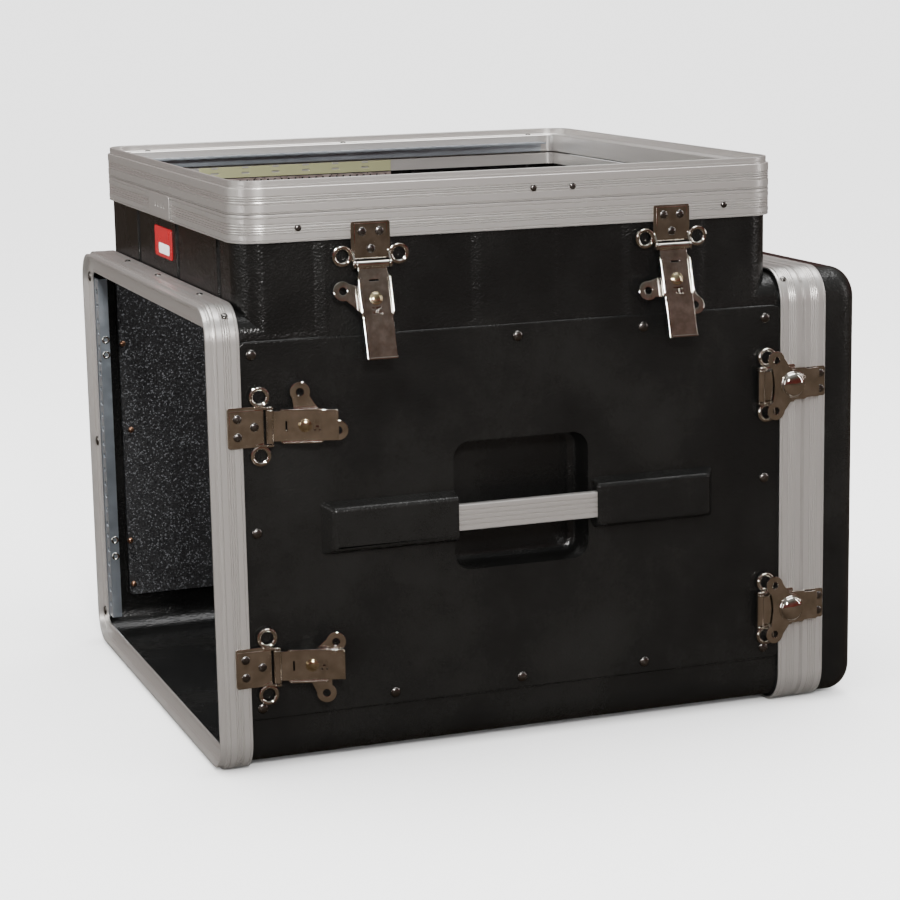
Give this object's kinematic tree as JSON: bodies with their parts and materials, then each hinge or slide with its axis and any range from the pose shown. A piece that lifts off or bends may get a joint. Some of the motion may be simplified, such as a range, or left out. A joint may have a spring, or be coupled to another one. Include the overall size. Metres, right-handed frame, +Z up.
{
  "type": "equipment rack case",
  "caption": "Moulded equipment case with a front rack bay, a pop-up top mixer frame, side carry handles, draw latches and a lift-off rear lid.",
  "frame": {"origin": "centre of the footprint on the floor", "axes": "+X across the rack width, front rack opening facing -Y, rear lid at +Y, +Z up"},
  "size_m": [0.5972, 0.65, 0.5377],
  "materials": {
    "satin_aluminium": "satin, finely ribbed extrusion",
    "black_polyethylene": "pebble-grained roto-moulded plastic",
    "nickel_plate": "bright nickel plate",
    "zinc_plate": "bluish zinc plate",
    "yellow_passivated_zinc": "yellow passivated zinc plate",
    "black_coated_plywood": "rough, slightly sparkling black coating",
    "red_enamel": "gloss enamel"
  },
  "bodies": {
    "case": {"body_shell": "black_polyethylene", "front_valance": "satin_aluminium", "rear_body_valance": "satin_aluminium", "top_body_valance": "satin_aluminium", "splice_plate": "satin_aluminium", "badge": "red_enamel", "handle_bar_left": "satin_aluminium", "handle_bar_right": "satin_aluminium", "side_panel_left": "black_coated_plywood", "side_panel_right": "black_coated_plywood", "front_rail_left": "zinc_plate", "front_rail_right": "zinc_plate", "slot_strip_left": "yellow_passivated_zinc", "slot_strip_right": "yellow_passivated_zinc", "latch_base_front_lower_left": "nickel_plate", "latch_base_front_upper_left": "nickel_plate", "latch_base_rear_lower_left": "nickel_plate", "latch_base_rear_upper_left": "nickel_plate", "latch_base_top_front_left": "nickel_plate", "latch_base_top_rear_left": "nickel_plate", "latch_base_front_lower_right": "nickel_plate", "latch_base_front_upper_right": "nickel_plate", "latch_base_rear_lower_right": "nickel_plate", "latch_base_rear_upper_right": "nickel_plate", "latch_base_top_front_right": "nickel_plate", "latch_base_top_rear_right": "nickel_plate"},
    "rear_lid": {"rear_lid_shell": "black_polyethylene", "rear_lid_valance": "satin_aluminium", "lid_keeper_lower_left": "nickel_plate", "lid_keeper_upper_left": "nickel_plate", "lid_keeper_lower_right": "nickel_plate", "lid_keeper_upper_right": "nickel_plate"},
    "mixer_frame": {"mixer_frame_valance": "satin_aluminium", "mixer_rail_left": "zinc_plate", "mixer_rail_right": "zinc_plate"},
    "arm_front_lower_left": {"latch_arm_front_lower_left": "nickel_plate"},
    "wing_front_lower_left": {"latch_wing_front_lower_left": "nickel_plate"},
    "arm_front_upper_left": {"latch_arm_front_upper_left": "nickel_plate"},
    "wing_front_upper_left": {"latch_wing_front_upper_left": "nickel_plate"},
    "arm_rear_lower_left": {"latch_arm_rear_lower_left": "nickel_plate"},
    "wing_rear_lower_left": {"latch_wing_rear_lower_left": "nickel_plate"},
    "arm_rear_upper_left": {"latch_arm_rear_upper_left": "nickel_plate"},
    "wing_rear_upper_left": {"latch_wing_rear_upper_left": "nickel_plate"},
    "arm_top_front_left": {"latch_arm_top_front_left": "nickel_plate"},
    "wing_top_front_left": {"latch_wing_top_front_left": "nickel_plate"},
    "arm_top_rear_left": {"latch_arm_top_rear_left": "nickel_plate"},
    "wing_top_rear_left": {"latch_wing_top_rear_left": "nickel_plate"},
    "arm_front_lower_right": {"latch_arm_front_lower_right": "nickel_plate"},
    "wing_front_lower_right": {"latch_wing_front_lower_right": "nickel_plate"},
    "arm_front_upper_right": {"latch_arm_front_upper_right": "nickel_plate"},
    "wing_front_upper_right": {"latch_wing_front_upper_right": "nickel_plate"},
    "arm_rear_lower_right": {"latch_arm_rear_lower_right": "nickel_plate"},
    "wing_rear_lower_right": {"latch_wing_rear_lower_right": "nickel_plate"},
    "arm_rear_upper_right": {"latch_arm_rear_upper_right": "nickel_plate"},
    "wing_rear_upper_right": {"latch_wing_rear_upper_right": "nickel_plate"},
    "arm_top_front_right": {"latch_arm_top_front_right": "nickel_plate"},
    "wing_top_front_right": {"latch_wing_top_front_right": "nickel_plate"},
    "arm_top_rear_right": {"latch_arm_top_rear_right": "nickel_plate"},
    "wing_top_rear_right": {"latch_wing_top_rear_right": "nickel_plate"}
  },
  "joints": [
    {"name": "rear_lid_lift_off", "type": "slide", "parent": "case", "child": "rear_lid", "axis": [0, 1, 0], "range_m": [0, 0.12]},
    {"name": "mixer_frame_pop_up", "type": "hinge", "parent": "case", "child": "mixer_frame", "pos_m": [0, -0.2967, 0.508], "axis": [1, 0, 0], "range_deg": [0, 20]},
    {"name": "swing_front_lower_left", "type": "hinge", "parent": "case", "child": "arm_front_lower_left", "pos_m": [-0.2705, -0.271, 0.1007], "axis": [0, 0, 1], "range_deg": [0, 163]},
    {"name": "turn_front_lower_left", "type": "hinge", "parent": "arm_front_lower_left", "child": "wing_front_lower_left", "pos_m": [-0.27956, -0.24135, 0.1007], "axis": [0.9563, 0.2924, 0], "range_deg": [-48.5, 71.5]},
    {"name": "swing_front_upper_left", "type": "hinge", "parent": "case", "child": "arm_front_upper_left", "pos_m": [-0.2705, -0.271, 0.321], "axis": [0, 0, 1], "range_deg": [0, 163]},
    {"name": "turn_front_upper_left", "type": "hinge", "parent": "arm_front_upper_left", "child": "wing_front_upper_left", "pos_m": [-0.27956, -0.24135, 0.321], "axis": [0.9563, 0.2924, 0], "range_deg": [-103, 17]},
    {"name": "swing_rear_lower_left", "type": "hinge", "parent": "case", "child": "arm_rear_lower_left", "pos_m": [-0.2705, 0.2144, 0.1007], "axis": [0, 0, 1], "range_deg": [0, 163]},
    {"name": "turn_rear_lower_left", "type": "hinge", "parent": "arm_rear_lower_left", "child": "wing_rear_lower_left", "pos_m": [-0.2705, 0.2454, 0.1007], "axis": [-1, 0, 0], "range_deg": [0, 180]},
    {"name": "swing_rear_upper_left", "type": "hinge", "parent": "case", "child": "arm_rear_upper_left", "pos_m": [-0.2705, 0.2144, 0.321], "axis": [0, 0, 1], "range_deg": [0, 163]},
    {"name": "turn_rear_upper_left", "type": "hinge", "parent": "arm_rear_upper_left", "child": "wing_rear_upper_left", "pos_m": [-0.2705, 0.2454, 0.321], "axis": [-1, 0, 0], "range_deg": [0, 180]},
    {"name": "swing_top_front_left", "type": "hinge", "parent": "case", "child": "arm_top_front_left", "pos_m": [-0.2705, -0.172, 0.46], "axis": [0, 1, 0], "range_deg": [0, 163]},
    {"name": "turn_top_front_left", "type": "hinge", "parent": "arm_top_front_left", "child": "wing_top_front_left", "pos_m": [-0.27956, -0.172, 0.43035], "axis": [0.9563, 0, -0.2924], "range_deg": [-7, 113]},
    {"name": "swing_top_rear_left", "type": "hinge", "parent": "case", "child": "arm_top_rear_left", "pos_m": [-0.2705, 0.122, 0.46], "axis": [0, 1, 0], "range_deg": [0, 163]},
    {"name": "turn_top_rear_left", "type": "hinge", "parent": "arm_top_rear_left", "child": "wing_top_rear_left", "pos_m": [-0.27956, 0.122, 0.43035], "axis": [0.9563, 0, -0.2924], "range_deg": [-41, 79]},
    {"name": "swing_front_lower_right", "type": "hinge", "parent": "case", "child": "arm_front_lower_right", "pos_m": [0.2705, -0.271, 0.1007], "axis": [0, 0, -1], "range_deg": [0, 163]},
    {"name": "turn_front_lower_right", "type": "hinge", "parent": "arm_front_lower_right", "child": "wing_front_lower_right", "pos_m": [0.27956, -0.24135, 0.1007], "axis": [-0.9563, 0.2924, 0], "range_deg": [-71.5, 48.5]},
    {"name": "swing_front_upper_right", "type": "hinge", "parent": "case", "child": "arm_front_upper_right", "pos_m": [0.2705, -0.271, 0.321], "axis": [0, 0, -1], "range_deg": [0, 163]},
    {"name": "turn_front_upper_right", "type": "hinge", "parent": "arm_front_upper_right", "child": "wing_front_upper_right", "pos_m": [0.27956, -0.24135, 0.321], "axis": [-0.9563, 0.2924, 0], "range_deg": [-17, 103]},
    {"name": "swing_rear_lower_right", "type": "hinge", "parent": "case", "child": "arm_rear_lower_right", "pos_m": [0.2705, 0.2144, 0.1007], "axis": [0, 0, -1], "range_deg": [0, 163]},
    {"name": "turn_rear_lower_right", "type": "hinge", "parent": "arm_rear_lower_right", "child": "wing_rear_lower_right", "pos_m": [0.2705, 0.2454, 0.1007], "axis": [1, 0, 0], "range_deg": [0, 180]},
    {"name": "swing_rear_upper_right", "type": "hinge", "parent": "case", "child": "arm_rear_upper_right", "pos_m": [0.2705, 0.2144, 0.321], "axis": [0, 0, -1], "range_deg": [0, 163]},
    {"name": "turn_rear_upper_right", "type": "hinge", "parent": "arm_rear_upper_right", "child": "wing_rear_upper_right", "pos_m": [0.2705, 0.2454, 0.321], "axis": [1, 0, 0], "range_deg": [0, 180]},
    {"name": "swing_top_front_right", "type": "hinge", "parent": "case", "child": "arm_top_front_right", "pos_m": [0.2705, -0.172, 0.46], "axis": [0, -1, 0], "range_deg": [0, 163]},
    {"name": "turn_top_front_right", "type": "hinge", "parent": "arm_top_front_right", "child": "wing_top_front_right", "pos_m": [0.27956, -0.172, 0.43035], "axis": [-0.9563, 0, -0.2924], "range_deg": [-113, 7]},
    {"name": "swing_top_rear_right", "type": "hinge", "parent": "case", "child": "arm_top_rear_right", "pos_m": [0.2705, 0.122, 0.46], "axis": [0, -1, 0], "range_deg": [0, 163]},
    {"name": "turn_top_rear_right", "type": "hinge", "parent": "arm_top_rear_right", "child": "wing_top_rear_right", "pos_m": [0.27956, 0.122, 0.43035], "axis": [-0.9563, 0, -0.2924], "range_deg": [-79, 41]}
  ]
}
